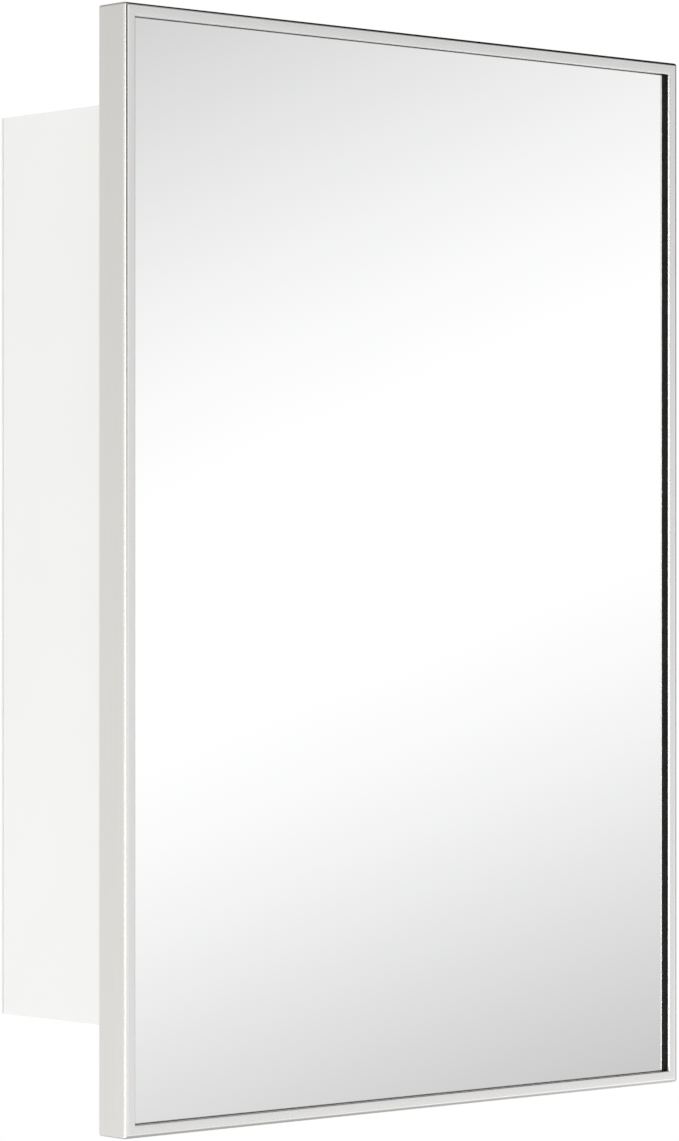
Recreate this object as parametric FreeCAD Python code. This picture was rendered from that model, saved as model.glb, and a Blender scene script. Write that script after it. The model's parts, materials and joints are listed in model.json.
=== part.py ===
"""Mirrored bathroom wall cabinet: a white sheet-steel body, a metal-framed mirror door on a piano
hinge at the right, a magnetic catch at the left and three glass shelves on slotted standards.

Frame: millimetres, +Z up, +X to the right as seen from the room, and the door faces -Y.
The origin is on the wall face of the back panel, at the middle of its four wall holes.
"""

import FreeCAD
import Part

import math
import os

from FreeCAD import Placement, Rotation, Vector

# ---------------------------------------------------------------- driving dimensions

DOOR_WIDTH = 457.2  # 18 in
DOOR_HEIGHT = 660.4  # 26 in
DOOR_DEPTH = 25.0
DOOR_DROP = 3.5  # the door's middle hangs this far below the body's middle
DOOR_GAP = 5.0  # from the rear of the door frame to the front of the body

BODY_WIDTH = 406.4  # 16 in
BODY_HEIGHT = 545.6
BODY_DEPTH = 123.0
SHEET = 1.0  # steel sheet of the body, the door back and the stiffeners
BEND = 0.6  # inside radius of a fold

FRONT_FLANGE = 18.0  # width of the face round the body's opening
RETURN_LIP = 10.0  # depth of the lip that stiffens that face
REAR_FLANGE = 15.0
END_TAB = 12.0  # tabs that join the top and bottom sheets to the sides
END_TAB_SETBACK = 4.0  # behind the return lip

WALL_HOLE_RADIUS = 3.0
WALL_HOLE_SPACING_X = 304.8  # 12 in
WALL_HOLE_SPACING_Z = 457.2  # 18 in
RECESS_HOLE_RADIUS = 2.5  # side holes, for fixing between studs
RECESS_HOLE_SPACING_Z = 360.0
RECESS_HOLE_BACK = 17.0  # behind the body's front face

FACE_WIDTH = 7.9  # the rim seen round the mirror
FACE_THICKNESS = 1.5
RAIL_WALL = 1.2
RAIL_REAR_FLANGE = 13.2
RAIL_EDGE_RADIUS = 2.8
FRAME_CORNER_RADIUS = 1.6  # of the frame's outline, seen from the front
LIP_EDGE_RADIUS = 0.9
LIP_REAR_RADIUS = 0.2
FLANGE_ROOT_RADIUS = 0.4
FLANGE_TIP_RADIUS = 0.3
REAR_EDGE_RADIUS = 1.0
GASKET_OUTER = 3.0  # from the frame's outside to the gasket's hidden edge
MIRROR_RECESS = 4.3  # from the frame's face to the glass
MIRROR_THICKNESS = 4.0
MIRROR_MARGIN = 3.0  # from the frame's outside to the glass edge
MIRROR_ARRIS = 0.4
SETTING_BLOCK_LENGTH = 50.0
BOARD_THICKNESS = 3.0
BOARD_GAP = 0.2  # all round, inside the glass edge
SHEET_GAP = 0.4  # between the door back and the rails

HINGE_LENGTH = 500.0
HINGE_KNUCKLES = 40
HINGE_OUTBOARD = 4.0  # hinge axis beyond the body's side
LEAF_WIDTH = 17.2
LEAF_SETBACK = 0.5  # from the knuckles to the leaf's flat
LEAF_THICKNESS = 1.0
KNUCKLE_RADIUS = 2.7
PIN_RADIUS = 1.25
PIN_CLEARANCE = 0.05
PIN_HEAD = 1.0
PIN_HEAD_RIM = 0.7  # how far the heads stand out round the pin

STANDARD_WIDTH = 16.0
STANDARD_RISE = 4.5
STANDARD_SHEET = 0.9
SLOT_PITCH = 12.7
SLOT_COUNT = 39
SLOT_WIDTH = 9.6
SLOT_HEIGHT = 3.0
STANDARD_BACK = {"front": 92.0, "rear": 20.0}  # distance of each standard from the wall face

SHELF_THICKNESS = 5.0
SHELF_CORNER = 5.0
SHELF_ARRIS = 0.6
SHELF_FRONT = 109.0  # distances from the wall face
SHELF_REAR = 6.0
SHELF_END_GAP = 2.0  # from a shelf's end to the standard
SHELF_SPACING_PITCHES = 11
CLIP_SHEET = 1.2
PAD_THICKNESS = 1.0

TAPPED_CLEARANCE = 0.05
CLEARANCE = 0.3  # between pieces that move past each other
BITE = 0.01  # overlap that lets fused sheets become one solid

# ---------------------------------------------------------------- places that follow from them

HALF_WIDTH = BODY_WIDTH / 2
HALF_HEIGHT = BODY_HEIGHT / 2
BODY_FRONT = -BODY_DEPTH
DOOR_REAR = BODY_FRONT - DOOR_GAP
DOOR_FRONT = DOOR_REAR - DOOR_DEPTH
DOOR_MIDDLE = Vector(0, DOOR_FRONT, -DOOR_DROP)
INNER_HALF_WIDTH = HALF_WIDTH - SHEET
OPENING_HALF_WIDTH = HALF_WIDTH - FRONT_FLANGE

# depths inside the door, measured back from its front face
GLASS_REAR = MIRROR_RECESS + MIRROR_THICKNESS
BOARD_REAR = GLASS_REAR + BOARD_THICKNESS
FLANGE_FRONT = DOOR_DEPTH - RAIL_WALL
PANEL_FRONT = FLANGE_FRONT - SHEET
PANEL_REAR_Y = DOOR_FRONT + FLANGE_FRONT

HINGE_X = HALF_WIDTH + HINGE_OUTBOARD
HINGE_Y = (BODY_FRONT + PANEL_REAR_Y) / 2
LEAF_MIDDLE_X = OPENING_HALF_WIDTH + FRONT_FLANGE / 2

# ---------------------------------------------------------------- helpers


def box(x0, x1, y0, y1, z0, z1):
    """Box between two corners."""
    return Part.makeBox(x1 - x0, y1 - y0, z1 - z0, Vector(x0, y0, z0))


def mirrored_x(shape):
    return shape.mirror(Vector(0, 0, 0), Vector(1, 0, 0))


def mirrored_z(shape):
    return shape.mirror(Vector(0, 0, 0), Vector(0, 0, 1))


def joined(shapes):
    """One solid from pieces that meet."""
    return shapes[0].multiFuse(shapes[1:]).removeSplitter()


def aimed(shape, position, direction):
    """Turns the shape's +Z onto direction and moves its origin to position."""
    return shape.transformed(Placement(position, Rotation(Vector(0, 0, 1), direction)).toMatrix())


def outline(corners):
    """Closed face in the XY plane from (x, y, radius) corners, each rounded by its radius."""
    points = [Vector(x, y, 0) for x, y, _ in corners]
    edges = []
    ends = []
    for i, (_, _, radius) in enumerate(corners):
        corner = points[i]
        back = (points[i - 1] - corner).normalize()
        ahead = (points[(i + 1) % len(points)] - corner).normalize()
        if radius == 0:
            ends.append((corner, corner))
            continue
        half_angle = back.getAngle(ahead) / 2
        reach = radius / math.tan(half_angle)
        start = corner + back * reach
        end = corner + ahead * reach
        bisector = (back + ahead).normalize()
        middle = corner + bisector * (radius / math.sin(half_angle) - radius)
        edges.append(Part.Arc(start, middle, end).toShape())
        ends.append((start, end))
    for i, (_, leave) in enumerate(ends):
        arrive = ends[(i + 1) % len(ends)][0]
        if leave.distanceToPoint(arrive) > 1e-6:
            edges.append(Part.LineSegment(leave, arrive).toShape())
    return Part.Face(Part.Wire(Part.__sortEdges__(edges)))


def folded(path, thickness):
    """Face of a folded sheet. The path is one surface of the sheet, which lies to its left."""
    points = [Vector(x, y, 0) for x, y in path]
    ahead = [(b - a).normalize() for a, b in zip(points, points[1:])]
    left = [Vector(-d.y, d.x, 0) for d in ahead]
    near = []
    far = []
    for i, point in enumerate(points):
        before = left[max(i - 1, 0)]
        after = left[min(i, len(left) - 1)]
        shift = (before + after) * (thickness / (1 + before.dot(after)))
        turn = 0 if i in (0, len(points) - 1) else ahead[i - 1].cross(ahead[i]).z
        near_radius = BEND + thickness if turn > 0 else BEND if turn < 0 else 0
        far_radius = BEND + thickness if turn < 0 else BEND if turn > 0 else 0
        near.append((point.x, point.y, near_radius))
        far.append((point.x + shift.x, point.y + shift.y, far_radius))
    return outline(near + far[::-1])


def pan_screw(head_radius, head_height, shank_radius, length):
    """Cross-recess pan-head screw. Its head stands up from Z = 0 and its shank runs down."""
    head = Part.makeCylinder(head_radius, head_height)
    rim = [e for e in head.Edges if abs(e.BoundBox.ZMin - head_height) < 1e-6]
    head = head.makeFillet(head_height * 0.45, rim)
    shank = Part.makeCylinder(shank_radius, length - shank_radius, Vector(0, 0, shank_radius - length))
    tip = Part.makeCone(shank_radius * 0.3, shank_radius, shank_radius, Vector(0, 0, -length))
    reach = head_radius * 0.55
    slot = head_radius * 0.13
    depth = head_height * 0.5
    cross = [
        box(-reach, reach, -slot, slot, head_height - depth, head_height + 1),
        box(-slot, slot, -reach, reach, head_height - depth, head_height + 1),
    ]
    return joined([head, shank, tip]).cut(joined(cross))


def screws(points, direction, size):
    """Identical screws, as separate solids, whose heads face along direction."""
    return Part.makeCompound([aimed(pan_screw(*size), point, direction) for point in points])


def drilled(shape, points, direction, radius, depth):
    """Round holes centred on the points, running both ways along direction."""
    drills = [
        Part.makeCylinder(radius, 2 * depth, point - direction * depth, direction) for point in points
    ]
    return shape.cut(Part.makeCompound(drills))


def spread(count, length):
    """Evenly spaced offsets about zero, from -length/2 to length/2."""
    return [length * (i / (count - 1) - 0.5) for i in range(count)]


# ---------------------------------------------------------------- screw sizes and places

# head radius, head height, shank radius, length under the head
HINGE_SCREW = (2.9, 1.2, 1.5, 6.0)
CATCH_SCREW = (2.9, 1.6, 1.5, 6.0)
STRIKE_SCREW = (2.2, 0.5, 1.2, 6.0)
GUSSET_SCREW = (2.7, 1.6, 1.5, 5.2)

ROOM = Vector(0, -1, 0)
WALL = Vector(0, 1, 0)

HINGE_SCREW_HEIGHTS = spread(9, HINGE_LENGTH - 30)
BODY_LEAF_SCREWS = [Vector(LEAF_MIDDLE_X, BODY_FRONT - LEAF_THICKNESS, z) for z in HINGE_SCREW_HEIGHTS]
DOOR_LEAF_SCREWS = [Vector(LEAF_MIDDLE_X, PANEL_REAR_Y + LEAF_THICKNESS, z) for z in HINGE_SCREW_HEIGHTS]

GUSSET_LEG = 46.0
GUSSET_WIDTH = 11.0
GUSSET_THICKNESS = 2.0
GUSSET_MARGIN = 1.6  # from the frame's outside to the gusset
GUSSET_SCREW_INSET = 7.2
GUSSET_SCREW_ALONG = 34.0

CATCH_HALF_HEIGHT = 16.0
CATCH_EAR_HALF_HEIGHT = 27.0
CATCH_WIDTH = 13.0
CATCH_EAR = 2.5
CATCH_EAR_SETBACK = 3.0
CATCH_TRAVEL = 2.0  # each way along the slots
CATCH_REAR = 110.0  # distances from the wall face
CATCH_FRONT = 126.6
POLE_FRONT = 127.2
POLE_THICKNESS = 1.2
POCKET_FLOOR = 2.0
MAGNET_SETBACK = 1.2  # behind the ends of the pole plates
MAGNET_THICKNESS = 5.0
POLE_HALF_HEIGHT = 13.0
CATCH_SCREW_BACK = 118.0
CATCH_SCREW_HEIGHTS = (-21.5, 21.5)
CATCH_MIDDLE_X = -OPENING_HALF_WIDTH + CATCH_EAR / 2 + CATCH_WIDTH / 2
CATCH_SCREW_POINTS = [
    Vector(-OPENING_HALF_WIDTH + CATCH_EAR, -CATCH_SCREW_BACK, z) for z in CATCH_SCREW_HEIGHTS
]

STRIKE_THICKNESS = 1.5
STRIKE_WIDTH = 13.0
STRIKE_HALF_HEIGHT = 28.0
STRIKE_CORNER = 3.0
STRIKE_SCREW_HEIGHTS = (-22.0, 22.0)
STRIKE_SCREW_POINTS = [
    Vector(CATCH_MIDDLE_X, PANEL_REAR_Y + STRIKE_THICKNESS, z) for z in STRIKE_SCREW_HEIGHTS
]

BUMPER_RADIUS = 5.0
BUMPER_HEIGHTS = (-250.0, 250.0)
BUMPER_RIM = 0.55  # the straight part of its height

# ---------------------------------------------------------------- body panels


def side_panel():
    """Right-hand side: wall, front face with its return lip, and rear flange."""
    path = [
        (HALF_WIDTH - REAR_FLANGE, -SHEET),
        (HALF_WIDTH, -SHEET),
        (HALF_WIDTH, BODY_FRONT),
        (OPENING_HALF_WIDTH, BODY_FRONT),
        (OPENING_HALF_WIDTH, BODY_FRONT + RETURN_LIP),
    ]
    section = folded(path[::-1], SHEET)
    panel = section.extrude(Vector(0, 0, BODY_HEIGHT))
    panel.translate(Vector(0, 0, -HALF_HEIGHT))
    holes = [
        Vector(HALF_WIDTH, BODY_FRONT + RECESS_HOLE_BACK, z) for z in spread(2, RECESS_HOLE_SPACING_Z)
    ]
    return drilled(panel, holes, Vector(1, 0, 0), RECESS_HOLE_RADIUS, 2 * SHEET)


def top_panel():
    """Top sheet: front face with its lip and rear flange between the sides, and an end tab at each."""
    top = HALF_HEIGHT
    path = [
        (-SHEET, top - REAR_FLANGE),
        (-SHEET, top),
        (BODY_FRONT, top),
        (BODY_FRONT, top - FRONT_FLANGE),
        (BODY_FRONT + RETURN_LIP, top - FRONT_FLANGE),
    ]
    section = folded(path, SHEET)
    to_yz = Placement(Vector(-OPENING_HALF_WIDTH, 0, 0), Rotation(Vector(1, 1, 1), 120)).toMatrix()
    middle = section.transformed(to_yz).extrude(Vector(2 * OPENING_HALF_WIDTH, 0, 0))
    pieces = [middle]
    tab_front = BODY_FRONT + RETURN_LIP + END_TAB_SETBACK
    for side in (-1, 1):
        inner = side * (OPENING_HALF_WIDTH - BITE)
        outer = side * INNER_HALF_WIDTH
        pieces.append(
            box(min(inner, outer), max(inner, outer), BODY_FRONT + SHEET, -2 * SHEET, top - SHEET, top)
        )
        tab = sorted((outer, outer - side * SHEET))
        pieces.append(box(*tab, tab_front, -REAR_FLANGE, top - END_TAB, top))
    return joined(pieces)


def back_panel():
    sheet = box(-HALF_WIDTH, HALF_WIDTH, -SHEET, 0, -HALF_HEIGHT, HALF_HEIGHT)
    holes = [
        Vector(x, 0, z) for x in spread(2, WALL_HOLE_SPACING_X) for z in spread(2, WALL_HOLE_SPACING_Z)
    ]
    return drilled(sheet, holes, WALL, WALL_HOLE_RADIUS, 2 * SHEET)


# ---------------------------------------------------------------- shelf supports


def shelf_standard(back):
    """Slotted channel on the right-hand wall, its web facing into the cabinet."""
    wall = INNER_HALF_WIDTH
    half = STANDARD_WIDTH / 2
    length = SLOT_PITCH * SLOT_COUNT
    path = [
        (wall, -back + half),
        (wall - STANDARD_RISE, -back + half),
        (wall - STANDARD_RISE, -back - half),
        (wall, -back - half),
    ]
    channel = folded(path, STANDARD_SHEET).extrude(Vector(0, 0, length))
    channel.translate(Vector(0, 0, -length / 2))
    slots = [
        box(
            wall - STANDARD_RISE - 1,
            wall - STANDARD_RISE + STANDARD_SHEET + 1,
            -back - SLOT_WIDTH / 2,
            -back + SLOT_WIDTH / 2,
            z - SLOT_HEIGHT / 2,
            z + SLOT_HEIGHT / 2,
        )
        for z in spread(SLOT_COUNT, SLOT_PITCH * (SLOT_COUNT - 1))
    ]
    return channel.cut(Part.makeCompound(slots))


CLIP_WIDTH = 9.0
CLIP_LEDGE = 11.5
CLIP_LEDGE_RISE = 4.6  # from the upper slot's middle to the ledge's top
CLIP_FOOT = 2.4  # the plate's end below the lower slot's middle
HOOK_REACH = 1.2  # how far the tongues stand behind the web
HOOK_PLAY = 0.2
PAD_INSET = 1.5  # from the ends of the ledge
PAD_SIDE_INSET = 0.5
PAD_EDGE_RADIUS = 0.3


def shelf_clip(slot_z, back):
    """Stamped clip on a right-hand standard: hook, foot, plate and ledge."""
    web = INNER_HALF_WIDTH - STANDARD_RISE
    plate = web - CLIP_SHEET
    behind = web + STANDARD_SHEET
    y0 = -back - CLIP_WIDTH / 2
    y1 = -back + CLIP_WIDTH / 2
    ledge = slot_z + CLIP_LEDGE_RISE
    foot = slot_z - SLOT_PITCH
    hook = slot_z - SLOT_HEIGHT / 2 + HOOK_PLAY
    tongue_end = behind + HOOK_REACH
    return joined(
        [
            box(plate, web, y0, y1, foot - CLIP_FOOT, ledge),
            box(plate - CLIP_LEDGE, web, y0, y1, ledge - CLIP_SHEET, ledge),
            box(plate, tongue_end, y0, y1, hook, hook + CLIP_SHEET),
            box(behind + HOOK_PLAY, tongue_end, y0, y1, hook, ledge - CLIP_SHEET),
            box(plate, tongue_end, y0, y1, foot - CLIP_SHEET / 2, foot + CLIP_SHEET / 2),
        ]
    )


def clip_pad(slot_z, back):
    """Soft pad between a clip's ledge and the shelf."""
    plate = INNER_HALF_WIDTH - STANDARD_RISE - CLIP_SHEET
    half = CLIP_WIDTH / 2 - PAD_SIDE_INSET
    low = slot_z + CLIP_LEDGE_RISE
    high = low + PAD_THICKNESS
    pad = box(plate - CLIP_LEDGE + PAD_INSET, plate - PAD_INSET, -back - half, -back + half, low, high)
    top_edges = [e for e in pad.Edges if e.BoundBox.ZMin > (low + high) / 2]
    return pad.makeFillet(PAD_EDGE_RADIUS, top_edges)


def four_of(maker, slot_z):
    """The maker's piece at both standards on each side, as separate solids."""
    right = [maker(slot_z, back) for back in STANDARD_BACK.values()]
    return Part.makeCompound(right + [mirrored_x(piece) for piece in right])


def glass_shelf(slot_z):
    """Tempered glass with rounded corners and ground edges."""
    half_width = INNER_HALF_WIDTH - STANDARD_RISE - SHELF_END_GAP
    low = slot_z + CLIP_LEDGE_RISE + PAD_THICKNESS
    corners = [
        (-half_width, -SHELF_FRONT, SHELF_CORNER),
        (half_width, -SHELF_FRONT, SHELF_CORNER),
        (half_width, -SHELF_REAR, SHELF_CORNER),
        (-half_width, -SHELF_REAR, SHELF_CORNER),
    ]
    plate = outline(corners).extrude(Vector(0, 0, SHELF_THICKNESS))
    flat_edges = [e for e in plate.Edges if e.BoundBox.ZLength < 1e-6]
    plate = plate.makeChamfer(SHELF_ARRIS, flat_edges)
    plate.translate(Vector(0, 0, low))
    return plate


# ---------------------------------------------------------------- door


def round_door(shape, angle):
    """Turns a piece made for the bottom rail onto the rail at that angle, and into the door."""
    turn = Placement(DOOR_MIDDLE, Rotation(Vector(0, 1, 0), angle))
    return shape.transformed(turn.toMatrix())


RAILS = {
    "frame_rail_bottom": (0, DOOR_WIDTH, DOOR_HEIGHT / 2),
    "frame_rail_left": (90, DOOR_HEIGHT, DOOR_WIDTH / 2),
    "frame_rail_top": (180, DOOR_WIDTH, DOOR_HEIGHT / 2),
    "frame_rail_right": (270, DOOR_HEIGHT, DOOR_WIDTH / 2),
}


def mitred(section, length, offset):
    """Extrudes a section of (inward, back) along the bottom rail and mitres both ends at 45 degrees."""
    to_rail = Placement(Vector(-length / 2, 0, -offset), Rotation(Vector(1, 1, 1), 120)).toMatrix()
    swapped = section.mirror(Vector(0, 0, 0), Vector(1, -1, 0))
    bar = swapped.transformed(to_rail).extrude(Vector(length, 0, 0))
    reach = 2 * RAIL_REAR_FLANGE
    corners = [
        Vector(-length / 2, 0, -offset),
        Vector(length / 2, 0, -offset),
        Vector(length / 2 - reach, 0, -offset + reach),
        Vector(-length / 2 + reach, 0, -offset + reach),
    ]
    between_mitres = Part.Face(Part.makePolygon(corners + corners[:1])).extrude(Vector(0, DOOR_DEPTH, 0))
    return bar.common(between_mitres)


def gusset_screw_points(angle):
    """Two screw places beside each corner that ends the rail at this angle."""
    _, length, offset = next(r for r in RAILS.values() if r[0] == angle)
    local = [
        Vector(side * (length / 2 - GUSSET_SCREW_ALONG), DOOR_DEPTH, -offset + GUSSET_SCREW_INSET)
        for side in (-1, 1)
    ]
    turn = Placement(DOOR_MIDDLE, Rotation(Vector(0, 1, 0), angle))
    return [turn.multVec(point) for point in local]


GUSSET_SCREW_POINTS = [p for angle in (0, 90, 180, 270) for p in gusset_screw_points(angle)]


def frame_outline():
    """Block of the door's outer size with the frame's rounded corners."""
    x = DOOR_WIDTH / 2
    z = DOOR_HEIGHT / 2
    radius = FRAME_CORNER_RADIUS
    face = outline([(-x, -z, radius), (x, -z, radius), (x, z, radius), (-x, z, radius)])
    upright = Placement(DOOR_MIDDLE, Rotation(Vector(1, 0, 0), 90)).toMatrix()
    return face.transformed(upright).extrude(Vector(0, DOOR_DEPTH, 0))


def frame_rail(angle, length, offset):
    """One mitred channel of the door frame, with its holes for the gusset screws."""
    section = outline(
        [
            (0, 0, RAIL_EDGE_RADIUS),
            (FACE_WIDTH, 0, LIP_EDGE_RADIUS),
            (FACE_WIDTH, FACE_THICKNESS, LIP_REAR_RADIUS),
            (RAIL_WALL, FACE_THICKNESS, RAIL_EDGE_RADIUS - RAIL_WALL),
            (RAIL_WALL, FLANGE_FRONT, FLANGE_ROOT_RADIUS),
            (RAIL_REAR_FLANGE, FLANGE_FRONT, FLANGE_TIP_RADIUS),
            (RAIL_REAR_FLANGE, DOOR_DEPTH, FLANGE_ROOT_RADIUS),
            (0, DOOR_DEPTH, REAR_EDGE_RADIUS),
        ]
    )
    rail = round_door(mitred(section, length, offset), angle).common(frame_outline())
    return drilled(rail, GUSSET_SCREW_POINTS, WALL, GUSSET_SCREW[2] + TAPPED_CLEARANCE, 2 * RAIL_WALL)


def glazing_gasket():
    """Four black strips between the frame's face and the glass, mitred at the corners."""
    section = outline(
        [
            (GASKET_OUTER, FACE_THICKNESS, 0),
            (FACE_WIDTH, FACE_THICKNESS, 0),
            (FACE_WIDTH, MIRROR_RECESS, 0),
            (GASKET_OUTER, MIRROR_RECESS, 0),
        ]
    )
    return Part.makeCompound(
        [round_door(mitred(section, length, offset), angle) for angle, length, offset in RAILS.values()]
    )


def corner_gussets():
    """Flat L-plates, two screws each, that hold the mitred corners together."""
    leg = GUSSET_LEG
    wide = GUSSET_WIDTH
    shape = outline(
        [(0, 0, 0), (leg, 0, 1.5), (leg, wide, 1.5), (wide, wide, 2.0), (wide, leg, 1.5), (0, leg, 1.5)]
    ).extrude(Vector(0, 0, GUSSET_THICKNESS))
    upright = shape.transformed(Placement(Vector(0, 0, 0), Rotation(Vector(1, 0, 0), 90)).toMatrix())
    upright.translate(
        Vector(
            -DOOR_WIDTH / 2 + GUSSET_MARGIN,
            PANEL_FRONT,
            -DOOR_HEIGHT / 2 + GUSSET_MARGIN,
        )
    )
    corners = {
        "bottom_left": upright,
        "bottom_right": mirrored_x(upright),
        "top_left": mirrored_z(upright),
        "top_right": mirrored_z(mirrored_x(upright)),
    }
    radius = GUSSET_SCREW[2] + TAPPED_CLEARANCE
    placed = {}
    for name, plate in corners.items():
        plate.translate(DOOR_MIDDLE)
        placed["corner_gusset_" + name] = drilled(plate, GUSSET_SCREW_POINTS, WALL, radius, DOOR_DEPTH)
    return placed


def door_sheet(margin, front, rear):
    """Flat sheet inside the frame, the margin in from the frame's outside."""
    half_w = DOOR_WIDTH / 2 - margin
    half_h = DOOR_HEIGHT / 2 - margin
    sheet = box(-half_w, half_w, front, rear, -half_h, half_h)
    sheet.translate(DOOR_MIDDLE)
    return sheet


def mirror_glass():
    """Silvered float glass with a small ground arris all round."""
    glass = door_sheet(MIRROR_MARGIN, MIRROR_RECESS, GLASS_REAR)
    return glass.makeChamfer(MIRROR_ARRIS, [e for e in glass.Edges if e.BoundBox.YLength < 1e-6])


def glass_setting_blocks():
    """Two rubber blocks on the bottom rail that carry the glass."""
    low = -DOOR_HEIGHT / 2 + RAIL_WALL
    high = -DOOR_HEIGHT / 2 + MIRROR_MARGIN
    half = SETTING_BLOCK_LENGTH / 2
    blocks = []
    for x in (-DOOR_WIDTH / 4, DOOR_WIDTH / 4):
        block = box(x - half, x + half, MIRROR_RECESS, GLASS_REAR, low, high)
        block.translate(DOOR_MIDDLE)
        blocks.append(block)
    return Part.makeCompound(blocks)


STIFFENER_WIDTH = 30.0
STIFFENER_LENGTH = 520.0
FOAM_WIDTH = 30.0
FOAM_STRIPS = 5


def stiffener(middle_x):
    """Channel behind the door back that takes the hinge or strike screws."""
    half = STIFFENER_WIDTH / 2
    web = DOOR_FRONT + PANEL_FRONT
    front = DOOR_FRONT + BOARD_REAR
    path = [
        (middle_x + half, front),
        (middle_x + half, web),
        (middle_x - half, web),
        (middle_x - half, front),
    ]
    channel = folded(path, SHEET).extrude(Vector(0, 0, STIFFENER_LENGTH))
    channel.translate(Vector(0, 0, -STIFFENER_LENGTH / 2))
    return channel


def hinge_stiffener():
    channel = stiffener(LEAF_MIDDLE_X)
    return drilled(channel, DOOR_LEAF_SCREWS, WALL, HINGE_SCREW[2] + TAPPED_CLEARANCE, 2 * SHEET + 2)


def strike_stiffener():
    channel = stiffener(CATCH_MIDDLE_X)
    return drilled(channel, STRIKE_SCREW_POINTS, WALL, STRIKE_SCREW[2] + TAPPED_CLEARANCE, 2 * SHEET + 3)


def foam_spacer_strips():
    """Foam strips that press the mirror and its board against the gasket."""
    inner = LEAF_MIDDLE_X - STIFFENER_WIDTH / 2
    half_w = FOAM_WIDTH / 2
    half_h = STIFFENER_LENGTH / 2
    strips = []
    for x in spread(FOAM_STRIPS, 2 * inner * (FOAM_STRIPS - 1) / (FOAM_STRIPS + 1)):
        strip = box(x - half_w, x + half_w, BOARD_REAR, PANEL_FRONT, -half_h, half_h)
        strip.translate(DOOR_MIDDLE)
        strips.append(strip)
    return Part.makeCompound(strips)


def door_back_panel():
    sheet = door_sheet(RAIL_WALL + SHEET_GAP, PANEL_FRONT, FLANGE_FRONT)
    clear = TAPPED_CLEARANCE
    sheet = drilled(sheet, GUSSET_SCREW_POINTS, WALL, GUSSET_SCREW[2] + clear, DOOR_DEPTH)
    sheet = drilled(sheet, DOOR_LEAF_SCREWS, WALL, HINGE_SCREW[2] + clear, DOOR_DEPTH)
    return drilled(sheet, STRIKE_SCREW_POINTS, WALL, STRIKE_SCREW[2] + clear, DOOR_DEPTH)


# ---------------------------------------------------------------- hinge


def hinge_leaf(first_knuckle, leaf_y, screw_points):
    """Leaf with every second knuckle, starting from the first one named. leaf_y is its lower Y."""
    pitch = HINGE_LENGTH / HINGE_KNUCKLES
    bore = PIN_RADIUS + PIN_CLEARANCE
    half = HINGE_LENGTH / 2
    strip_edge = HINGE_X - KNUCKLE_RADIUS - LEAF_SETBACK
    pieces = [box(strip_edge - LEAF_WIDTH, strip_edge, leaf_y, leaf_y + LEAF_THICKNESS, -half, half)]
    bores = []
    for i in range(first_knuckle, HINGE_KNUCKLES, 2):
        low = -half + i * pitch + CLEARANCE / 2
        length = pitch - CLEARANCE
        axis = Vector(HINGE_X, HINGE_Y, low)
        ring = Part.makeCylinder(KNUCKLE_RADIUS, length, axis)
        neck = box(strip_edge - LEAF_SETBACK, HINGE_X, leaf_y, leaf_y + LEAF_THICKNESS, low, low + length)
        pieces += [ring, neck]
        bores.append(Part.makeCylinder(bore, length + 2, axis - Vector(0, 0, 1)))
    leaf = joined(pieces).cut(Part.makeCompound(bores))
    return drilled(leaf, screw_points, WALL, HINGE_SCREW[2] + TAPPED_CLEARANCE, 2 * LEAF_THICKNESS)


def hinge_pin():
    """Pin through all the knuckles, headed over at both ends."""
    half = HINGE_LENGTH / 2
    rim = PIN_RADIUS + PIN_HEAD_RIM
    return joined(
        [
            Part.makeCylinder(PIN_RADIUS, HINGE_LENGTH, Vector(HINGE_X, HINGE_Y, -half)),
            Part.makeCylinder(rim, PIN_HEAD, Vector(HINGE_X, HINGE_Y, half)),
            Part.makeCylinder(rim, PIN_HEAD, Vector(HINGE_X, HINGE_Y, -half - PIN_HEAD)),
        ]
    )


# ---------------------------------------------------------------- catch


def catch_housing():
    """Plastic block with two slotted ears, screwed to the return lip at the left of the opening."""
    lip = -OPENING_HALF_WIDTH
    block = box(lip, lip + CATCH_WIDTH + CATCH_EAR / 2, -CATCH_FRONT, -CATCH_REAR,
                -CATCH_HALF_HEIGHT, CATCH_HALF_HEIGHT)
    block = block.makeFillet(1.2, [e for e in block.Edges if e.BoundBox.XMin > lip + CATCH_EAR])
    ears = box(lip, lip + CATCH_EAR, -CATCH_FRONT + CATCH_EAR_SETBACK, -CATCH_REAR,
               -CATCH_EAR_HALF_HEIGHT, CATCH_EAR_HALF_HEIGHT)
    ears = ears.makeFillet(2.0, [e for e in ears.Edges if e.BoundBox.XLength > CATCH_EAR / 2])
    body = joined([block, ears])
    pocket_half = MAGNET_THICKNESS / 2 + POLE_THICKNESS
    pocket = box(CATCH_MIDDLE_X - pocket_half, CATCH_MIDDLE_X + pocket_half, -CATCH_FRONT - 1,
                 -CATCH_REAR - POCKET_FLOOR, -POLE_HALF_HEIGHT, POLE_HALF_HEIGHT)
    radius = CATCH_SCREW[2] + 0.1
    slots = []
    for point in CATCH_SCREW_POINTS:
        ends = [point + Vector(-2 * CATCH_EAR, y, 0) for y in (-CATCH_TRAVEL, CATCH_TRAVEL)]
        slots += [Part.makeCylinder(radius, 3 * CATCH_EAR, end, Vector(1, 0, 0)) for end in ends]
        slots.append(
            box(point.x - 2 * CATCH_EAR, point.x + CATCH_EAR,
                point.y - CATCH_TRAVEL, point.y + CATCH_TRAVEL,
                point.z - radius, point.z + radius)
        )
    return body.cut(Part.makeCompound([pocket] + slots))


def catch_magnet():
    half = MAGNET_THICKNESS / 2
    return box(CATCH_MIDDLE_X - half, CATCH_MIDDLE_X + half, -POLE_FRONT + MAGNET_SETBACK,
               -CATCH_REAR - POCKET_FLOOR, -POLE_HALF_HEIGHT, POLE_HALF_HEIGHT)


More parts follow.
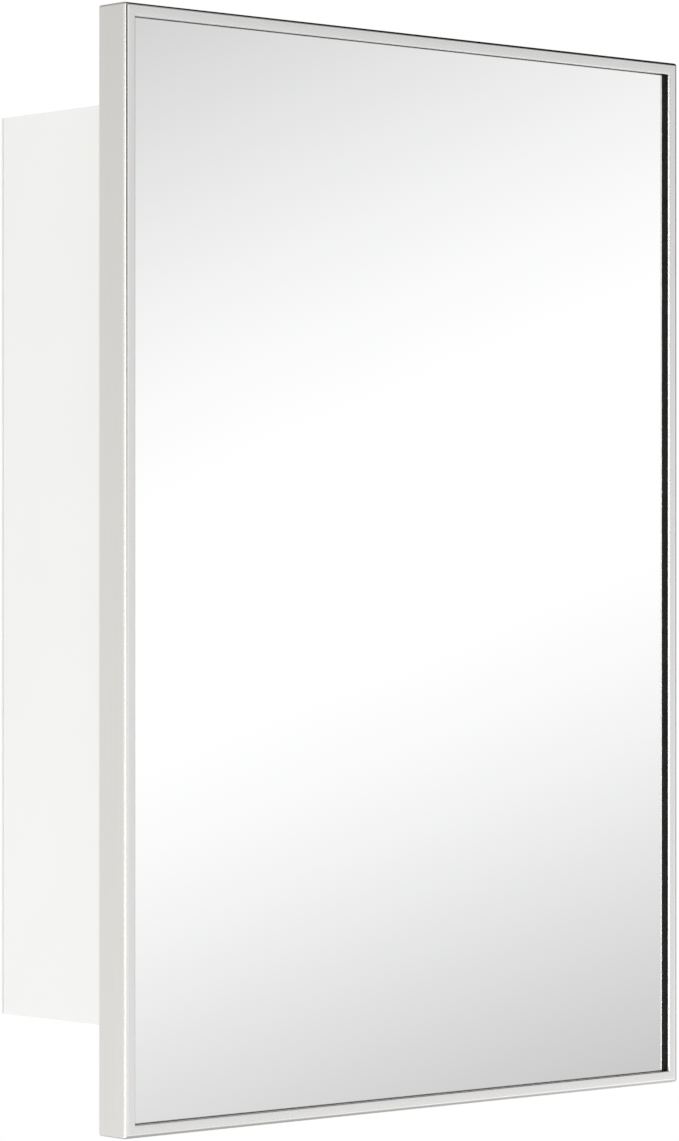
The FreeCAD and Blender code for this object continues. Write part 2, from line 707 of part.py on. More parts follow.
def catch_pole_plates():
    plates = []
    for side in (-1, 1):
        inner = CATCH_MIDDLE_X + side * MAGNET_THICKNESS / 2
        across = sorted((inner, inner + side * POLE_THICKNESS))
        plates.append(
            box(*across, -POLE_FRONT, -CATCH_REAR - POCKET_FLOOR, -POLE_HALF_HEIGHT, POLE_HALF_HEIGHT)
        )
    return Part.makeCompound(plates)


def strike_plate():
    """Steel plate on the door back that the magnet holds."""
    half = STRIKE_WIDTH / 2
    plate = box(CATCH_MIDDLE_X - half, CATCH_MIDDLE_X + half, PANEL_REAR_Y,
                PANEL_REAR_Y + STRIKE_THICKNESS, -STRIKE_HALF_HEIGHT, STRIKE_HALF_HEIGHT)
    corners = [e for e in plate.Edges if e.BoundBox.YLength > STRIKE_THICKNESS / 2]
    plate = plate.makeFillet(STRIKE_CORNER, corners)
    radius = STRIKE_SCREW[2] + TAPPED_CLEARANCE
    return drilled(plate, STRIKE_SCREW_POINTS, WALL, radius, 3 * STRIKE_THICKNESS)


def door_bumpers():
    """Two clear domes on the body's face that the door closes against."""
    height = BODY_FRONT - PANEL_REAR_Y - CLEARANCE
    rim = height * BUMPER_RIM
    dome = height - rim
    sphere_radius = (BUMPER_RADIUS**2 + dome**2) / (2 * dome)
    bumpers = []
    for z in BUMPER_HEIGHTS:
        cylinder = Part.makeCylinder(BUMPER_RADIUS, height)
        ball = Part.makeSphere(sphere_radius, Vector(0, 0, height - sphere_radius))
        bumper = cylinder.common(ball)
        bumpers.append(aimed(bumper, Vector(-LEAF_MIDDLE_X, BODY_FRONT, z), ROOM))
    return Part.makeCompound(bumpers)


# ---------------------------------------------------------------- assembly


def body_parts():
    top = top_panel()
    bottom = mirrored_z(top)
    right = side_panel().cut(top).cut(bottom)
    left = mirrored_x(right)
    lip_holes = drilled(left, CATCH_SCREW_POINTS, Vector(1, 0, 0), CATCH_SCREW[2] + TAPPED_CLEARANCE, 6)
    screw_radius = HINGE_SCREW[2] + TAPPED_CLEARANCE
    return {
        "left_side_panel": lip_holes,
        "right_side_panel": drilled(right, BODY_LEAF_SCREWS, WALL, screw_radius, 4),
        "top_panel": top,
        "bottom_panel": bottom,
        "back_panel": back_panel(),
    }


def shelf_parts():
    found = {}
    for place, back in STANDARD_BACK.items():
        standard = shelf_standard(back)
        found[f"shelf_standard_{place}_right"] = standard
        found[f"shelf_standard_{place}_left"] = mirrored_x(standard)
    for name, step in (("lower", -1), ("middle", 0), ("upper", 1)):
        slot_z = step * SHELF_SPACING_PITCHES * SLOT_PITCH
        found[f"glass_shelf_{name}"] = glass_shelf(slot_z)
        found[f"shelf_clips_{name}"] = four_of(shelf_clip, slot_z)
        found[f"clip_pads_{name}"] = four_of(clip_pad, slot_z)
    return found


def door_parts():
    found = {name: frame_rail(*rail) for name, rail in RAILS.items()}
    found.update(corner_gussets())
    found["gusset_screws"] = screws(GUSSET_SCREW_POINTS, WALL, GUSSET_SCREW)
    found["glazing_gasket"] = glazing_gasket()
    found["mirror_glass"] = mirror_glass()
    found["glass_setting_blocks"] = glass_setting_blocks()
    found["mirror_backing_board"] = door_sheet(MIRROR_MARGIN + BOARD_GAP, GLASS_REAR, BOARD_REAR)
    found["foam_spacer_strips"] = foam_spacer_strips()
    found["hinge_stiffener"] = hinge_stiffener()
    found["strike_stiffener"] = strike_stiffener()
    found["door_back_panel"] = door_back_panel()
    return found


def hardware_parts():
    return {
        "hinge_leaf_body": hinge_leaf(0, BODY_FRONT - LEAF_THICKNESS, BODY_LEAF_SCREWS),
        "hinge_leaf_door": hinge_leaf(1, PANEL_REAR_Y, DOOR_LEAF_SCREWS),
        "hinge_pin": hinge_pin(),
        "hinge_screws_body": screws(BODY_LEAF_SCREWS, ROOM, HINGE_SCREW),
        "hinge_screws_door": screws(DOOR_LEAF_SCREWS, WALL, HINGE_SCREW),
        "catch_housing": catch_housing(),
        "catch_magnet": catch_magnet(),
        "catch_pole_plates": catch_pole_plates(),
        "catch_screws": screws(CATCH_SCREW_POINTS, Vector(1, 0, 0), CATCH_SCREW),
        "strike_plate": strike_plate(),
        "strike_screws": screws(STRIKE_SCREW_POINTS, WALL, STRIKE_SCREW),
        "door_bumpers": door_bumpers(),
    }


def main():
    os.makedirs("parts", exist_ok=True)
    shapes = {**body_parts(), **shelf_parts(), **door_parts(), **hardware_parts()}
    for name, shape in shapes.items():
        for solid in shape.Solids:
            if not solid.isValid():
                print("not valid:", name)
        shape.exportStep(f"parts/{name}.step")
    print(len(shapes), "nodes,", sum(len(s.Solids) for s in shapes.values()), "solids")


main()
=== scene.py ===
import bpy
import json
import math
from mathutils import Euler, Matrix, Vector


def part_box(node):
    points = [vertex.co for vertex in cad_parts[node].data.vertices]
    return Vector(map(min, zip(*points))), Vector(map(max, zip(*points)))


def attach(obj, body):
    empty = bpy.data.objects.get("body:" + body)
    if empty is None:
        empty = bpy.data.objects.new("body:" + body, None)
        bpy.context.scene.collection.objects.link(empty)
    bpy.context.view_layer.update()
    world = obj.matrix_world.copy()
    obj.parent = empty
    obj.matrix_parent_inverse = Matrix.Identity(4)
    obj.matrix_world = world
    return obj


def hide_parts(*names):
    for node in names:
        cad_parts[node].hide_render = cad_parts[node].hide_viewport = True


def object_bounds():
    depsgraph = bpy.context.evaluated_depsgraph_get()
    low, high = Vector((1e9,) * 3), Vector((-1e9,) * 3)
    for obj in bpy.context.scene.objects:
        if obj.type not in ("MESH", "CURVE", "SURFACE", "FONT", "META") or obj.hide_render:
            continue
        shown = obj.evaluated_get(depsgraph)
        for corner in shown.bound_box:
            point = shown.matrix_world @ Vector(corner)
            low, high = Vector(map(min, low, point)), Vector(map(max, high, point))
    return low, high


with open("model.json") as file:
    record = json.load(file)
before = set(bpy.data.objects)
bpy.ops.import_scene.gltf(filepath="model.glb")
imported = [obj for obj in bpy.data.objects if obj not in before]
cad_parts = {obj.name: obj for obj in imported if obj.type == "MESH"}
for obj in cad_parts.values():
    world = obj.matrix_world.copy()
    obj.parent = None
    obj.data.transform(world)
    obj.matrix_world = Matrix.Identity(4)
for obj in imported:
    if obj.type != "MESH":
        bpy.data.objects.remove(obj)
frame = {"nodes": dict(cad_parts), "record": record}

# Everything is in metres, in the cabinet's own frame: +Z up, the mirror door faces -Y and the
# origin is on the wall face of the back panel.

CAD_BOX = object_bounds()
MM = 0.001

# ---------------------------------------------------------------- sizes that the frame doesn't hold

FACE_WIDTH = 7.9 * MM  # the rim seen round the mirror
FACE_THICKNESS = 1.5 * MM
RAIL_WALL = 1.2 * MM
RAIL_REAR_FLANGE = 13.2 * MM
RAIL_EDGE_RADIUS = 2.8 * MM
LIP_EDGE_RADIUS = 0.9 * MM
LIP_REAR_RADIUS = 0.2 * MM
FLANGE_ROOT_RADIUS = 0.4 * MM
FLANGE_TIP_FRONT_RADIUS = 0.3 * MM
FLANGE_TIP_REAR_RADIUS = 0.4 * MM
REAR_EDGE_RADIUS = 1.0 * MM
FRAME_CORNER_RADIUS = 1.6 * MM  # of the frame's outline, seen from the front
FRAME_CORNER_STEPS = 4
ARC_STEPS = 8

GASKET_OUTER = 3.0 * MM  # from the frame's outside to the gasket's hidden edge
GROOVE_WIDTH = 0.3 * MM  # under the frame's lip
GROOVE_DEPTH = 0.6 * MM
GROOVE_RADIUS = 0.2 * MM
FLARE_INSET = 0.05 * MM  # where the gasket flares out again to seal against the glass
FLARE_DEPTH = 1.2 * MM
FLARE_RADIUS = 0.3 * MM
GASKET_ARC_STEPS = 3

SHELF_CORNER = 5.0 * MM
SHELF_ARRIS = 0.6 * MM

# creases sharper than these stay sharp, in degrees
DOOR_CREASE = 35
SHELF_CREASE = 30

CAMERA_PLACE = Vector((-1.8202, -2.1558, -0.0158))
CAMERA_TURN = math.radians(41.258)  # from looking straight at the wall, towards the right
CAMERA_LENS = 139.05
CAMERA_RISE = 0.0186  # the upward shift of the picture
CAMERA_SENSOR = 36
CAMERA_CLIP = (0.05, 60)

FLOOR_DROP = 1.3
FLOOR_RADIUS = 3.6
FLOOR_STEPS = 96
FADE_START = 0.35 * FLOOR_RADIUS
FADE_END = 0.98 * FLOOR_RADIUS

# brightness of the studio, where 1 is the white that the camera sees
STUDIO_LEVEL = 1.06
PANEL_SHADE = 0.57
LOWER_SHADE = 1.13  # how much deeper the panel's shade is below the band
BAND_WIDTH = 0.22
BAND_TILT = math.radians(22.4)

# ---------------------------------------------------------------- node helpers


class Graph:
    """The nodes of one material or world."""

    def __init__(self, owner):
        owner.use_nodes = True
        self.owner = owner
        self.nodes = owner.node_tree.nodes
        self.links = owner.node_tree.links

    def put(self, socket, value):
        """Sets a socket, or links it when the value is another node's output."""
        if isinstance(value, bpy.types.NodeSocket):
            self.links.new(value, socket)
        else:
            socket.default_value = value

    def add(self, kind, inputs, **settings):
        node = self.nodes.new("ShaderNode" + kind)
        for name, value in settings.items():
            setattr(node, name, value)
        for key, value in inputs.items():
            self.put(node.inputs[key], value)
        return node

    def math(self, operation, a, b=0.0, c=0.0):
        return self.add("Math", {0: a, 1: b, 2: c}, operation=operation).outputs[0]

    def along(self, direction, vector):
        """How far the vector reaches along the direction."""
        return self.add("VectorMath", {0: vector, 1: direction}, operation="DOT_PRODUCT").outputs["Value"]

    def place(self, scale=(1, 1, 1)):
        """Coordinates fixed to the piece, in metres times scale."""
        coordinates = self.add("TexCoord", {}).outputs["Object"]
        return self.add("Mapping", {"Vector": coordinates, "Scale": scale}).outputs["Vector"]

    def noise(self, scale, stretch=(1, 1, 1), detail=3.0, roughness=0.5):
        inputs = {"Vector": self.place(stretch), "Scale": scale, "Detail": detail, "Roughness": roughness}
        return self.add("TexNoise", inputs).outputs["Fac"]

    def cells(self, scale):
        """Distance to the nearest of scattered points."""
        return self.add("TexVoronoi", {"Vector": self.place(), "Scale": scale}).outputs["Distance"]

    def span(self, value, low, high, start=0.3, end=0.7):
        """Runs from low to high as the value goes from start to end."""
        inputs = {"Value": value, "From Min": start, "From Max": end, "To Min": low, "To Max": high}
        return self.add("MapRange", inputs).outputs["Result"]

    def blend(self, value, low, high, start=0.3, end=0.7):
        """Runs from one colour to another as the value goes from start to end."""
        factor = self.span(value, 0.0, 1.0, start, end)
        node = self.add("Mix", {"Factor": factor}, data_type="RGBA")
        self.put(node.inputs[6], (*low, 1))
        self.put(node.inputs[7], (*high, 1))
        return node.outputs[2]

    def bump(self, height, strength, distance, normal=None):
        node = self.add("Bump", {"Height": height, "Strength": strength, "Distance": distance})
        if normal is not None:
            self.put(node.inputs["Normal"], normal)
        return node.outputs["Normal"]


class Finish(Graph):
    """A material round one Principled shader."""

    def __init__(self, name):
        super().__init__(bpy.data.materials.new(name))
        self.shader = self.nodes["Principled BSDF"]

    def set(self, **sockets):
        """Sockets by name, with _ for a space: base_color=..., roughness=..."""
        for name, value in sockets.items():
            wanted = name.replace("_", " ").lower()
            socket = next(s for s in self.shader.inputs if s.name.lower() == wanted)
            self.put(socket, value)
        return self.owner


# ---------------------------------------------------------------- materials

STEEL = (0.748, 0.743, 0.732)
HINGE_STEEL = (0.64, 0.63, 0.61)
BRUSH_PACE = 0.012  # how fast the brushing changes along its run, with 1 across it
ROUGH_SPREAD = 0.06


def powder_coat():
    """White baked powder: faint orange peel, with a slightly uneven gloss."""
    f = Finish("white_powder_coat")
    peel = f.noise(520, detail=2.0)
    pinholes = f.noise(2600, detail=1.0)
    fine = f.bump(pinholes, 0.05, 0.02 * MM)
    return f.set(
        base_color=f.blend(f.noise(9), (0.855, 0.857, 0.856), (0.872, 0.874, 0.873)),
        roughness=f.span(f.noise(160), 0.36, 0.46),
        normal=f.bump(peel, 0.12, 0.08 * MM, fine),
        specular_ior_level=0.45,
    )


def brushed_steel(name, run, tone, contrast, rough):
    """Satin stainless steel brushed along the run, an axis by number: fine scratches and bands."""
    f = Finish(name)
    stretch = [1.0, 1.0, 1.0]
    stretch[run] = BRUSH_PACE
    scratches = f.noise(3600, stretch, detail=4.0, roughness=0.65)
    bands = f.noise(620, stretch, detail=2.0)
    smears = f.noise(14, detail=2.0)
    grain = f.math("MULTIPLY_ADD", scratches, 0.6, f.math("MULTIPLY", bands, 0.4))
    worn = f.math("MULTIPLY_ADD", smears, ROUGH_SPREAD, f.span(grain, rough - ROUGH_SPREAD, rough))
    dark = [c * (1 - contrast) for c in tone]
    light = [c * (1 + contrast) for c in tone]
    return f.set(
        base_color=f.blend(grain, dark, light),
        metallic=1.0,
        roughness=worn,
        normal=f.bump(grain, 0.08, 0.01 * MM),
    )


def mirror_silver():
    """Silvered float glass: nearly perfect, with the faint draw of the float line."""
    f = Finish("mirror_silver")
    draw = f.noise(5.0, (0.15, 1.0, 1.0), detail=1.0)
    return f.set(
        base_color=f.blend(f.noise(3.0), (0.955, 0.96, 0.958), (0.965, 0.97, 0.968)),
        metallic=1.0,
        roughness=0.0,
        normal=f.bump(draw, 0.01, 0.02 * MM),
    )


def rubber(name, colour, rough, gloss):
    """Dark rubber with a little lighter dust on it."""
    f = Finish(name)
    dust = f.noise(300, detail=4.0)
    lighter = tuple(c * 1.6 + 0.002 for c in colour)
    return f.set(
        base_color=f.blend(dust, colour, lighter),
        roughness=f.span(f.noise(90), rough - ROUGH_SPREAD, rough + ROUGH_SPREAD),
        normal=f.bump(f.noise(1800, detail=2.0), 0.15, 0.03 * MM),
        specular_ior_level=gloss,
    )


def zinc_plate():
    """Bright zinc: bluish steel with cloudy patches and tumbling marks."""
    f = Finish("zinc_plated_steel")
    clouds = f.noise(130, detail=4.0)
    marks = f.noise(2400, detail=3.0)
    return f.set(
        base_color=f.blend(clouds, (0.56, 0.575, 0.60), (0.74, 0.745, 0.75)),
        metallic=1.0,
        roughness=f.span(clouds, 0.24, 0.40),
        normal=f.bump(marks, 0.12, 0.02 * MM),
    )


def clear_glass():
    """Shelf glass whose green shows through its length, not its thickness."""
    f = Finish("clear_glass")
    depth = f.add("VolumeAbsorption", {"Color": (0.50, 0.86, 0.72, 1), "Density": 9.0})
    f.links.new(depth.outputs["Volume"], f.nodes["Material Output"].inputs["Volume"])
    return f.set(
        base_color=f.blend(f.noise(6), (0.965, 0.985, 0.975), (0.975, 0.99, 0.985)),
        roughness=0.0,
        transmission_weight=1.0,
        ior=1.52,
    )


def ground_edge():
    """The shelf's ground and polished edge, where the glass looks green."""
    f = Finish("ground_glass_edge")
    scratches = f.noise(1500, (0.05, 0.05, 1.0), detail=3.0)
    return f.set(
        base_color=f.blend(f.noise(60), (0.46, 0.70, 0.60), (0.56, 0.78, 0.69)),
        roughness=f.span(scratches, 0.12, 0.34),
        transmission_weight=0.75,
        ior=1.52,
        normal=f.bump(scratches, 0.15, 0.02 * MM),
    )


def moulded_plastic():
    f = Finish("white_plastic")
    return f.set(
        base_color=f.blend(f.noise(70), (0.80, 0.80, 0.775), (0.84, 0.84, 0.82)),
        roughness=f.span(f.noise(240), 0.38, 0.5),
        normal=f.bump(f.cells(2200), 0.10, 0.03 * MM),
    )


def ferrite():
    f = Finish("ferrite_magnet")
    return f.set(
        base_color=f.blend(f.noise(1400, detail=5.0), (0.02, 0.02, 0.022), (0.075, 0.075, 0.08)),
        roughness=f.span(f.noise(500), 0.55, 0.8),
        normal=f.bump(f.noise(1800), 0.3, 0.05 * MM),
    )


def silicone():
    f = Finish("clear_silicone")
    return f.set(
        base_color=f.blend(f.noise(200), (0.86, 0.88, 0.88), (0.93, 0.94, 0.94)),
        roughness=f.span(f.noise(600), 0.22, 0.36),
        transmission_weight=0.7,
        ior=1.41,
        normal=f.bump(f.noise(900), 0.08, 0.05 * MM),
    )


def foam():
    f = Finish("grey_foam")
    bubbles = f.cells(1300)
    return f.set(
        base_color=f.blend(bubbles, (0.07, 0.07, 0.075), (0.20, 0.20, 0.21), 0.1, 0.6),
        roughness=0.95,
        normal=f.bump(bubbles, 0.6, 0.3 * MM),
    )


def hardboard():
    f = Finish("hardboard")
    fibres = f.noise(1100, (1.0, 1.0, 0.35), detail=6.0, roughness=0.7)
    return f.set(
        base_color=f.blend(fibres, (0.15, 0.085, 0.045), (0.34, 0.22, 0.13)),
        roughness=f.span(fibres, 0.6, 0.85),
        normal=f.bump(fibres, 0.35, 0.1 * MM),
    )


def rail_finishes(way, run):
    """Finish of the flats of a rail, then of its rounded edges, which are buffed smoother."""
    return [
        brushed_steel("brushed_stainless_" + way, run, STEEL, contrast=0.03, rough=0.38),
        brushed_steel("buffed_edge_" + way, run, STEEL, contrast=0.02, rough=0.18),
    ]


ACROSS = rail_finishes("across", 0)
UPRIGHT = rail_finishes("upright", 2)

FINISHES = {
    "white_powder_coat": powder_coat(),
    "brushed_stainless": UPRIGHT[0],
    "mirror_silver": mirror_silver(),
    "black_gasket": rubber("black_gasket", (0.003, 0.003, 0.003), rough=0.5, gloss=0.13),
    "black_rubber": rubber("black_rubber", (0.02, 0.02, 0.02), rough=0.7, gloss=0.4),
    "clear_glass": clear_glass(),
    "zinc_plated_steel": zinc_plate(),
    "hinge_stainless": brushed_steel("hinge_stainless", 2, HINGE_STEEL, contrast=0.07, rough=0.34),
    "clear_silicone": silicone(),
    "white_plastic": moulded_plastic(),
    "ferrite_magnet": ferrite(),
    "grey_foam": foam(),
    "hardboard": hardboard(),
}

for part in frame["record"]["subparts"]:
    piece = frame["nodes"][part["node"]]
    for material_slot in piece.material_slots:
        material_slot.material = FINISHES[part["material_slot"]]

# ---------------------------------------------------------------- mesh helpers


def add_piece(name, vertices, faces, body, materials, replaced):
    """A mesh piece that rides on a body and stands for the replaced CAD nodes."""
    mesh = bpy.data.meshes.new(name)
    mesh.from_pydata(vertices, [], faces)
    mesh.validate()
    for material in materials:
        mesh.materials.append(material)
    piece = bpy.data.objects.new(name, mesh)
    bpy.context.scene.collection.objects.link(piece)
    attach(piece, body)
    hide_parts(*replaced)
    return piece


def smooth_by_angle(piece, degrees):
    """Smooth shading with creases sharper than the angle left sharp."""
    piece.data.shade_smooth()
    piece.data.set_sharp_from_angle(angle=math.radians(degrees))


def rounded(corners, steps=ARC_STEPS):
    """Outline points from (u, v, radius) corners, with each rounded corner as an arc."""
    points = []
    for i, (u, v, radius) in enumerate(corners):
        corner = Vector((u, v))
        if radius == 0:
            points.append(corner)
            continue
        back = (Vector(corners[i - 1][:2]) - corner).normalized()
        ahead = (Vector(corners[(i + 1) % len(corners)][:2]) - corner).normalized()
        half = back.angle(ahead) / 2
        centre = corner + (back + ahead).normalized() * (radius / math.sin(half))
        first = corner + back * (radius / math.tan(half)) - centre
        last = corner + ahead * (radius / math.tan(half)) - centre
        swing = first.angle_signed(last)
        for step in range(steps + 1):
            turn = Matrix.Rotation(-swing * step / steps, 2)
            points.append(centre + turn @ first)
    return points


# ---------------------------------------------------------------- door frame

DOOR_LOW = Vector((*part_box("frame_rail_left")[0].xy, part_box("frame_rail_bottom")[0].z))
DOOR_HIGH = Vector((*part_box("frame_rail_right")[1].xy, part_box("frame_rail_top")[1].z))
DOOR_MIDDLE = (DOOR_LOW + DOOR_HIGH) / 2
DOOR_DEPTH = DOOR_HIGH.y - DOOR_LOW.y
DOOR_HALF_WIDTH = (DOOR_HIGH.x - DOOR_LOW.x) / 2
DOOR_HALF_HEIGHT = (DOOR_HIGH.z - DOOR_LOW.z) / 2
MIRROR_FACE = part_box("mirror_glass")[0].y - DOOR_LOW.y

# angle from the bottom rail, half length, half of the door the other way, finishes
RAIL_PLACES = {
    "frame_rail_bottom": (0, DOOR_HALF_WIDTH, DOOR_HALF_HEIGHT, ACROSS),
    "frame_rail_left": (90, DOOR_HALF_HEIGHT, DOOR_HALF_WIDTH, UPRIGHT),
    "frame_rail_top": (180, DOOR_HALF_WIDTH, DOOR_HALF_HEIGHT, ACROSS),
    "frame_rail_right": (270, DOOR_HALF_HEIGHT, DOOR_HALF_WIDTH, UPRIGHT),
}
MITRE = math.pi / 4


def mitred_bar(section, place, corner_radius, corner_steps):
    """Vertices and faces of a bar with this (inward, back) section, whose ends meet their
    neighbours at 45 degrees. The frame's outline turns its corners on the corner radius."""
    angle, half_length, half_across, _ = RAIL_PLACES[place]
    turn = Matrix.Rotation(math.radians(angle), 3, "Y")
    front_middle = Vector((DOOR_MIDDLE.x, DOOR_LOW.y, DOOR_MIDDLE.z))
    swings = [MITRE * (1 - step / corner_steps) for step in range(corner_steps + 1)]
    stations = [(-1, swing) for swing in swings] + [(1, swing) for swing in reversed(swings)]
    vertices = []
    for side, swing in stations:
        for inward, back in section:
            reach = corner_radius - inward
            if reach > 0:
                along = half_length - corner_radius + reach * math.sin(swing)
                across = corner_radius - reach * math.cos(swing)
            else:
                along = half_length - inward - corner_radius * (1 - swing / MITRE)
                across = inward
            vertices.append(front_middle + turn @ Vector((side * along, back, across - half_across)))
    count = len(section)
    faces = [tuple(range(count))[::-1]]
    for station in range(len(stations) - 1):
        start = station * count
        for i in range(count):
            ahead = (i + 1) % count
            faces.append((start + i, start + ahead, start + ahead + count, start + i + count))
    faces.append(tuple(range(len(vertices) - count, len(vertices))))
    return vertices, faces


RAIL_SECTION = rounded(
    [
        (0, 0, RAIL_EDGE_RADIUS),
        (FACE_WIDTH, 0, LIP_EDGE_RADIUS),
        (FACE_WIDTH, FACE_THICKNESS, LIP_REAR_RADIUS),
        (RAIL_WALL, FACE_THICKNESS, RAIL_EDGE_RADIUS - RAIL_WALL),
        (RAIL_WALL, DOOR_DEPTH - RAIL_WALL, FLANGE_ROOT_RADIUS),
        (RAIL_REAR_FLANGE, DOOR_DEPTH - RAIL_WALL, FLANGE_TIP_FRONT_RADIUS),
        (RAIL_REAR_FLANGE, DOOR_DEPTH, FLANGE_TIP_REAR_RADIUS),
        (0, DOOR_DEPTH, REAR_EDGE_RADIUS),
    ]
)

# the sides of the section on the arcs of its first two corners, the outer edge and the lip's edge
EDGE_SIDES = [*range(ARC_STEPS), *range(ARC_STEPS + 1, 2 * ARC_STEPS + 1)]

GASKET_SECTION = rounded(
    [
        (GASKET_OUTER, FACE_THICKNESS, 0),
        (FACE_WIDTH - GROOVE_WIDTH, FACE_THICKNESS, 0),
        (FACE_WIDTH - GROOVE_WIDTH, FACE_THICKNESS + GROOVE_DEPTH, GROOVE_RADIUS),
        (FACE_WIDTH - FLARE_INSET, FACE_THICKNESS + FLARE_DEPTH, FLARE_RADIUS),
        (FACE_WIDTH, MIRROR_FACE, 0),
        (GASKET_OUTER, MIRROR_FACE, 0),
    ],
    steps=GASKET_ARC_STEPS,
)

for name, (_, _, _, finishes) in RAIL_PLACES.items():
    vertices, faces = mitred_bar(RAIL_SECTION, name, FRAME_CORNER_RADIUS, FRAME_CORNER_STEPS)
    rail = add_piece(name + "_brushed", vertices, faces, "door", finishes, [name])
    for face in rail.data.polygons[1:-1]:
        side = (face.index - 1) % len(RAIL_SECTION)
        face.material_index = 1 if side in EDGE_SIDES else 0
    smooth_by_angle(rail, DOOR_CREASE)

gasket_vertices = []
gasket_faces = []
for name in RAIL_PLACES:
    vertices, faces = mitred_bar(GASKET_SECTION, name, corner_radius=0, corner_steps=1)
    start = len(gasket_vertices)
    gasket_vertices += vertices
    gasket_faces += [tuple(i + start for i in face) for face in faces]
gasket = add_piece(
    "glazing_gasket_strips",
    gasket_vertices,
    gasket_faces,
    "door",
    [FINISHES["black_gasket"]],
    ["glazing_gasket"],
)
smooth_by_angle(gasket, DOOR_CREASE)

# ---------------------------------------------------------------- glass shelves

EDGE_FINISH = ground_edge()


def glass_shelf(level):
    """Plate with rounded corners, a small arris all round and ground edges."""
    low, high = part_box("glass_shelf_" + level)
    rings = []
    for inset, z in (
        (SHELF_ARRIS, low.z),
        (0, low.z + SHELF_ARRIS),
        (0, high.z - SHELF_ARRIS),
        (SHELF_ARRIS, high.z),
    ):
        radius = SHELF_CORNER - inset
        corners = [
            (low.x + inset, low.y + inset, radius),
            (high.x - inset, low.y + inset, radius),
            (high.x - inset, high.y - inset, radius),
            (low.x + inset, high.y - inset, radius),
        ]
        rings.append([(p.x, p.y, z) for p in rounded(corners)])
    count = len(rings[0])
    vertices = [point for ring in rings for point in ring]
    underside = tuple(range(count))[::-1]
    top = tuple(range(len(vertices) - count, len(vertices)))
    faces = [underside, top]
    for start in range(0, len(vertices) - count, count):
        for i in range(count):
            a = start + i
            b = start + (i + 1) % count
            faces.append((a, b, b + count, a + count))
    shelf = add_piece(
        "glass_shelf_" + level + "_plate",
        vertices,
        faces,
        "shelf_" + level,
        [FINISHES["clear_glass"], EDGE_FINISH],
        ["glass_shelf_" + level],
    )
    for face in shelf.data.polygons[2:]:  # all but the underside and the top
        face.material_index = 1
    smooth_by_angle(shelf, SHELF_CREASE)


for shelf_level in ("upper", "middle", "lower"):
    glass_shelf(shelf_level)

# ---------------------------------------------------------------- floor, light and camera


def pale_floor():
    """Round pale floor that fades to the white behind it at its rim: a painted glow, faint in its middle
    and full white at its rim.
    """
    rim = [2 * math.pi * i / FLOOR_STEPS for i in range(FLOOR_STEPS)]
    floor_z = CAD_BOX[0].z - FLOOR_DROP
    vertices = [(FLOOR_RADIUS * math.cos(a), FLOOR_RADIUS * math.sin(a), floor_z) for a in rim]
    mesh = bpy.data.meshes.new("floor")
    mesh.from_pydata(vertices, [], [tuple(range(FLOOR_STEPS))])
    floor = bpy.data.objects.new("floor", mesh)
    bpy.context.scene.collection.objects.link(floor)
    f = Finish("pale_floor")
    coordinates = f.place()
    flat = f.add("VectorMath", {0: coordinates, 1: (1, 1, 0)}, operation="MULTIPLY").outputs[0]
    reach = f.add("VectorMath", {0: flat}, operation="LENGTH").outputs["Value"]
    f.set(
        base_color=f.blend(f.noise(3), (0.86, 0.86, 0.855), (0.88, 0.88, 0.875)),
        roughness=0.7,
        # painted glow: the floor emits light, faintly in its middle and fully at its rim, where it melts
        # into the white behind
        emission_color=(1, 1, 1, 1),
        emission_strength=f.span(reach, 0.1, 1.0, FADE_START, FADE_END),
    )
    mesh.materials.append(f.owner)


def soft_light(name, place, target, width, height, power):
    """Rectangular soft light aimed at the target."""
    data = bpy.data.lights.new(name, "AREA")
    data.shape = "RECTANGLE"
    data.size = width
    data.size_y = height
    data.energy = power
    light = bpy.data.objects.new(name, data)
    light.location = place
    light.rotation_mode = "QUATERNION"
    light.rotation_quaternion = (Vector(target) - Vector(place)).to_track_quat("-Z", "Y")
    light.visible_camera = False
    bpy.context.scene.collection.objects.link(light)


def heading(turn, rise):
    """Direction turned from -Y towards +X, and raised, by angles in degrees."""
    turn, rise = math.radians(turn), math.radians(rise)
    return (math.sin(turn) * math.cos(rise), -math.cos(turn) * math.cos(rise), math.sin(rise))


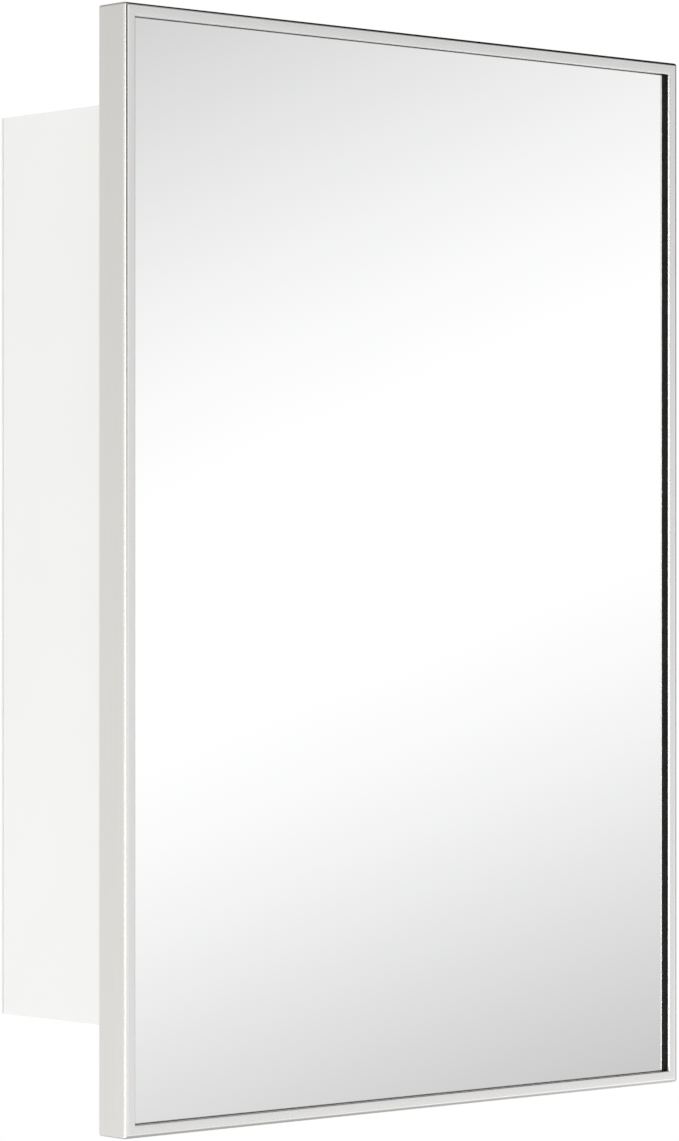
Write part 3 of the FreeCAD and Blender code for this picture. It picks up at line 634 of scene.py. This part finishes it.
def studio_world():
    """White studio, dimmer towards the ceiling and slightly warm and dim opposite the panel. The
    panel is a darker stretch at the front right that the mirror shows, crossed by a soft bright band.
    Glows above and beside it light the frame's face. A dark flag at the front left and a dark backing
    at the right draw the frame's edges."""
    world = bpy.data.worlds.new("studio")
    bpy.context.scene.world = world
    g = Graph(world)
    g.nodes.clear()
    direction = g.add("TexCoord", {}).outputs["Generated"]

    def patch(middle, level, edge, core):
        """Soft round patch of the studio, which reaches its level at the core. The edge and the core
        are cosines of the angle from the patch's middle."""
        return g.span(g.along(middle, direction), 0.0, level, edge, core)

    view_turn = math.degrees(CAMERA_TURN)
    panel_middle = Vector(heading(view_turn, 0.5))
    panel_side = Vector(heading(view_turn + 90, 0))
    panel_up = panel_middle.cross(panel_side)
    across_band = panel_up * math.cos(BAND_TILT) - panel_side * math.sin(BAND_TILT)

    # no shade on the band's middle line, the deepest at one band width from it, less further out
    off_band = g.math("DIVIDE", g.along(across_band, direction), BAND_WIDTH)
    squared = g.math("POWER", g.math("ABSOLUTE", off_band), 2.0)
    fall = g.math("EXPONENT", g.math("SUBTRACT", 1.0, squared))
    panel = patch(panel_middle, level=1.0, edge=0.955, core=0.987)
    depth = g.math("MULTIPLY", panel, PANEL_SHADE)
    lower_side = g.span(off_band, low=LOWER_SHADE, high=1.0, start=-0.4, end=0.2)
    shade = g.math("MULTIPLY", g.math("MULTIPLY", squared, fall), g.math("MULTIPLY", depth, lower_side))

    rise = g.along((0, 0, 1), direction)
    ceiling = g.span(rise, low=0.0, high=0.6, start=0.12, end=0.6)
    flag_side = patch(heading(-18, 4), level=1.15, edge=0.925, core=0.965)
    flag = g.math("MULTIPLY", flag_side, g.span(rise, low=0.0, high=1.0, start=0.02, end=0.115))
    backing = patch(heading(108, 14), level=1.0, edge=0.60, core=0.76)
    corner = patch(heading(view_turn - 180, 12), level=0.15, edge=0.7, core=1.0)

    above = patch(heading(35, 50), level=0.26, edge=0.6, core=0.95)
    beside = patch(heading(58, -8), level=0.75, edge=0.955, core=0.99)
    glow = g.math("ADD", above, beside)
    brightness = g.math("MULTIPLY_ADD", glow, g.math("SUBTRACT", 1.0, panel), STUDIO_LEVEL)
    for darker in (shade, ceiling, flag, backing, corner):
        brightness = g.math("SUBTRACT", brightness, darker)
    strength = g.math("MAXIMUM", brightness, 0.0)

    light_path = g.add("LightPath", {}).outputs["Is Camera Ray"]
    seen = g.add("Background", {"Color": (1, 1, 1, 1), "Strength": 1.0}).outputs[0]
    tint = g.blend(g.along(panel_middle, direction), (1, 0.99, 0.96), (1, 1, 1), start=-0.4, end=0.4)
    studio = g.add("Background", {"Color": tint, "Strength": strength}).outputs[0]
    mixed = g.add("MixShader", {0: light_path, 1: studio, 2: seen}).outputs[0]
    g.add("OutputWorld", {"Surface": mixed})


def photo_camera():
    """Camera at the photograph's place and angle, level, with a slight shift."""
    data = bpy.data.cameras.new("camera")
    data.lens = CAMERA_LENS
    data.sensor_width = CAMERA_SENSOR
    data.shift_y = CAMERA_RISE
    data.clip_start, data.clip_end = CAMERA_CLIP
    camera = bpy.data.objects.new("camera", data)
    camera.location = CAMERA_PLACE
    camera.rotation_euler = Euler((math.pi / 2, 0, -CAMERA_TURN))
    bpy.context.scene.collection.objects.link(camera)
    bpy.context.scene.camera = camera


pale_floor()
studio_world()
soft_light("key", place=(-2.65, -2.1, -0.35), target=(-0.2, -0.15, 0), width=0.4, height=2.4, power=16)
soft_light("low_fill", place=(-1.3, -0.3, -1.1), target=(-0.2, -0.1, -0.1), width=0.8, height=0.8, power=4)
photo_camera()
bpy.context.scene.view_settings.view_transform = "Standard"
